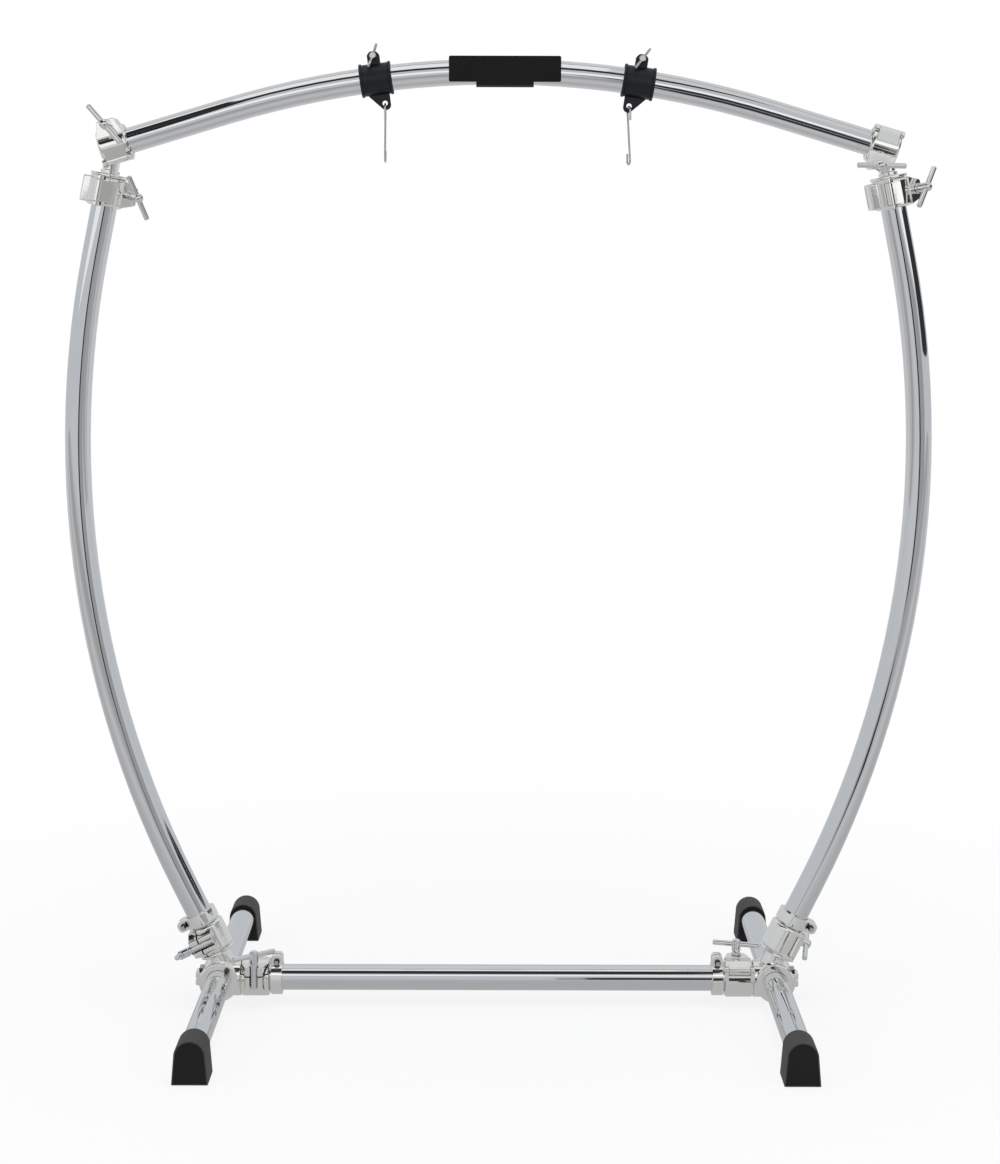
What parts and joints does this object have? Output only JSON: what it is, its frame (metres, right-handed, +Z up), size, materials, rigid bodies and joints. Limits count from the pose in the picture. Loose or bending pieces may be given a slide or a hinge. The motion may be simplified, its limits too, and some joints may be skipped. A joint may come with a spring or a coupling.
{
  "type": "gong stand",
  "caption": "Chrome tube gong stand: bowed uprights and top bar on a flat base, joined by hinged clamps with T screws, with sliding hangers and wire hooks.",
  "frame": {"origin": "on the floor under the middle of the stand", "axes": "+Z up, +X to the viewer's right along the bottom bar, -Y toward the player and the camera"},
  "size_m": [1.2978, 0.66, 1.4468],
  "materials": {
    "chrome": "polished chrome plate on tube and turned screws",
    "cast_chrome": "chrome plate on castings, slightly soft",
    "steel": "bright plated steel pins, screws and wire",
    "rubber": "matte moulded rubber",
    "black_plastic": "satin moulded plastic"
  },
  "bodies": {
    "stand": {"bottom_bar": "chrome", "top_bar": "chrome", "left_upright": "chrome", "right_upright": "chrome", "left_leg_tube": "chrome", "right_leg_tube": "chrome", "front_left_foot": "rubber", "front_right_foot": "rubber", "rear_left_foot": "rubber", "rear_right_foot": "rubber", "badge": "black_plastic", "left_base_casting": "cast_chrome", "left_bar_hinge_pin": "steel", "left_upright_foot_hinge_pin": "steel", "left_leg_pinch_screw": "steel", "left_bar_memory_lock": "cast_chrome", "left_bar_lock_screw": "steel", "left_upright_memory_lock": "cast_chrome", "left_upright_lock_screw": "steel", "left_lower_clamp_body": "cast_chrome", "left_lower_clamp_hinge_pin": "steel", "left_upper_clamp_body": "cast_chrome", "left_upper_clamp_hinge_pin": "steel", "left_swivel_post": "cast_chrome", "right_base_casting": "cast_chrome", "right_bar_hinge_pin": "steel", "right_upright_foot_hinge_pin": "steel", "right_leg_pinch_screw": "steel", "right_bar_memory_lock": "cast_chrome", "right_bar_lock_screw": "steel", "right_upright_memory_lock": "cast_chrome", "right_upright_lock_screw": "steel", "right_lower_clamp_body": "cast_chrome", "right_lower_clamp_hinge_pin": "steel", "right_upper_clamp_body": "cast_chrome", "right_upper_clamp_hinge_pin": "steel", "right_swivel_post": "cast_chrome"},
    "left_bar_jaw": {"left_bar_jaw": "cast_chrome"},
    "left_bar_t_screw": {"left_bar_t_screw": "chrome"},
    "left_upright_foot_jaw": {"left_upright_foot_jaw": "cast_chrome"},
    "left_upright_foot_t_screw": {"left_upright_foot_t_screw": "chrome"},
    "left_lower_clamp_jaw": {"left_lower_clamp_jaw": "cast_chrome"},
    "left_lower_clamp_t_screw": {"left_lower_clamp_t_screw": "chrome"},
    "left_upper_clamp_jaw": {"left_upper_clamp_jaw": "cast_chrome"},
    "left_upper_clamp_t_screw": {"left_upper_clamp_t_screw": "chrome"},
    "right_bar_jaw": {"right_bar_jaw": "cast_chrome"},
    "right_bar_t_screw": {"right_bar_t_screw": "chrome"},
    "right_upright_foot_jaw": {"right_upright_foot_jaw": "cast_chrome"},
    "right_upright_foot_t_screw": {"right_upright_foot_t_screw": "chrome"},
    "right_lower_clamp_jaw": {"right_lower_clamp_jaw": "cast_chrome"},
    "right_lower_clamp_t_screw": {"right_lower_clamp_t_screw": "chrome"},
    "right_upper_clamp_jaw": {"right_upper_clamp_jaw": "cast_chrome"},
    "right_upper_clamp_t_screw": {"right_upper_clamp_t_screw": "chrome"},
    "left_hanger": {"left_hanger_collar": "black_plastic"},
    "left_wing_screw": {"left_wing_screw": "steel"},
    "left_hook": {"left_hook": "steel"},
    "right_hanger": {"right_hanger_collar": "black_plastic"},
    "right_wing_screw": {"right_wing_screw": "steel"},
    "right_hook": {"right_hook": "steel"}
  },
  "joints": [
    {"name": "left_bar_jaw_swing", "type": "hinge", "parent": "stand", "child": "left_bar_jaw", "pos_m": [-0.367, 0.023, 0.056], "axis": [-1, 0, 0], "range_deg": [0, 2.6]},
    {"name": "left_bar_t_screw_turn", "type": "hinge", "parent": "left_bar_jaw", "child": "left_bar_t_screw", "pos_m": [-0.367, -0.03, 0.038], "axis": [0, 0, 1], "range_deg": [0, 720]},
    {"name": "left_upright_foot_jaw_swing", "type": "hinge", "parent": "stand", "child": "left_upright_foot_jaw", "pos_m": [-0.45198, 0.023, 0.09331], "axis": [0.4415, 0, -0.8973], "range_deg": [0, 2.6]},
    {"name": "left_upright_foot_t_screw_turn", "type": "hinge", "parent": "left_upright_foot_jaw", "child": "left_upright_foot_t_screw", "pos_m": [-0.43583, -0.03, 0.10126], "axis": [-0.8973, 0, -0.4415], "range_deg": [0, 720]},
    {"name": "left_lower_clamp_jaw_swing", "type": "hinge", "parent": "stand", "child": "left_lower_clamp_jaw", "pos_m": [-0.58964, -0.02834, 1.23026], "axis": [-0.1959, 0, -0.9806], "range_deg": [0, 2.6]},
    {"name": "left_lower_clamp_t_screw_turn", "type": "hinge", "parent": "left_lower_clamp_jaw", "child": "left_lower_clamp_t_screw", "pos_m": [-0.55955, 0.01847, 1.22425], "axis": [0.6037, -0.788, -0.1206], "range_deg": [0, 720]},
    {"name": "left_upper_clamp_jaw_swing", "type": "hinge", "parent": "stand", "child": "left_upper_clamp_jaw", "pos_m": [-0.56235, -0.018, 1.27561], "axis": [0.9573, 0, 0.289], "range_deg": [0, 2.6]},
    {"name": "left_upper_clamp_t_screw_turn", "type": "hinge", "parent": "left_upper_clamp_jaw", "child": "left_upper_clamp_t_screw", "pos_m": [-0.57767, 0, 1.32635], "axis": [0, -1, 0], "range_deg": [0, 720]},
    {"name": "right_bar_jaw_swing", "type": "hinge", "parent": "stand", "child": "right_bar_jaw", "pos_m": [0.367, -0.023, 0.056], "axis": [1, 0, 0], "range_deg": [0, 2.6]},
    {"name": "right_bar_t_screw_turn", "type": "hinge", "parent": "right_bar_jaw", "child": "right_bar_t_screw", "pos_m": [0.367, 0.03, 0.038], "axis": [0, 0, 1], "range_deg": [0, 720]},
    {"name": "right_upright_foot_jaw_swing", "type": "hinge", "parent": "stand", "child": "right_upright_foot_jaw", "pos_m": [0.45198, -0.023, 0.09331], "axis": [-0.4415, 0, -0.8973], "range_deg": [0, 2.6]},
    {"name": "right_upright_foot_t_screw_turn", "type": "hinge", "parent": "right_upright_foot_jaw", "child": "right_upright_foot_t_screw", "pos_m": [0.43583, 0.03, 0.10126], "axis": [0.8973, 0, -0.4415], "range_deg": [0, 720]},
    {"name": "right_lower_clamp_jaw_swing", "type": "hinge", "parent": "stand", "child": "right_lower_clamp_jaw", "pos_m": [0.57583, -0.02834, 1.2275], "axis": [0.1959, 0, -0.9806], "range_deg": [0, 2.6]},
    {"name": "right_lower_clamp_t_screw_turn", "type": "hinge", "parent": "right_lower_clamp_jaw", "child": "right_lower_clamp_t_screw", "pos_m": [0.60592, 0.01847, 1.23352], "axis": [0.6037, -0.788, 0.1206], "range_deg": [0, 720]},
    {"name": "right_upper_clamp_jaw_swing", "type": "hinge", "parent": "stand", "child": "right_upper_clamp_jaw", "pos_m": [0.57565, -0.018, 1.31964], "axis": [-0.9573, 0, 0.289], "range_deg": [0, 2.6]},
    {"name": "right_upper_clamp_t_screw_turn", "type": "hinge", "parent": "right_upper_clamp_jaw", "child": "right_upper_clamp_t_screw", "pos_m": [0.56033, 0, 1.26891], "axis": [0, -1, 0], "range_deg": [0, 720]},
    {"name": "left_hanger_slide", "type": "hinge", "parent": "stand", "child": "left_hanger", "pos_m": [0, 0, 0.007], "axis": [0, 1, 0], "range_deg": [-8, 3.2]},
    {"name": "left_wing_screw_turn", "type": "hinge", "parent": "left_hanger", "child": "left_wing_screw", "pos_m": [-0.18642, 0, 1.42883], "axis": [0, -1, 0], "range_deg": [0, 720]},
    {"name": "left_hook_swing", "type": "hinge", "parent": "left_hanger", "child": "left_hook", "pos_m": [-0.1687, 0, 1.35904], "axis": [0, 1, 0], "range_deg": [-60, 60]},
    {"name": "right_hanger_slide", "type": "hinge", "parent": "stand", "child": "right_hanger", "pos_m": [0, 0, 0.007], "axis": [0, 1, 0], "range_deg": [-3.2, 7.3]},
    {"name": "right_wing_screw_turn", "type": "hinge", "parent": "right_hanger", "child": "right_wing_screw", "pos_m": [0.211, 0, 1.42539], "axis": [0, -1, 0], "range_deg": [0, 720]},
    {"name": "right_hook_swing", "type": "hinge", "parent": "right_hanger", "child": "right_hook", "pos_m": [0.19207, 0, 1.35592], "axis": [0, 1, 0], "range_deg": [-60, 60]}
  ],
  "couplings": [
    {"joint": "left_bar_jaw_swing", "follows": "left_bar_t_screw_turn", "ratio": 0.0036111},
    {"joint": "left_upright_foot_jaw_swing", "follows": "left_upright_foot_t_screw_turn", "ratio": 0.0036111},
    {"joint": "left_lower_clamp_jaw_swing", "follows": "left_lower_clamp_t_screw_turn", "ratio": 0.0036111},
    {"joint": "left_upper_clamp_jaw_swing", "follows": "left_upper_clamp_t_screw_turn", "ratio": 0.0036111},
    {"joint": "right_bar_jaw_swing", "follows": "right_bar_t_screw_turn", "ratio": 0.0036111},
    {"joint": "right_upright_foot_jaw_swing", "follows": "right_upright_foot_t_screw_turn", "ratio": 0.0036111},
    {"joint": "right_lower_clamp_jaw_swing", "follows": "right_lower_clamp_t_screw_turn", "ratio": 0.0036111},
    {"joint": "right_upper_clamp_jaw_swing", "follows": "right_upper_clamp_t_screw_turn", "ratio": 0.0036111}
  ]
}
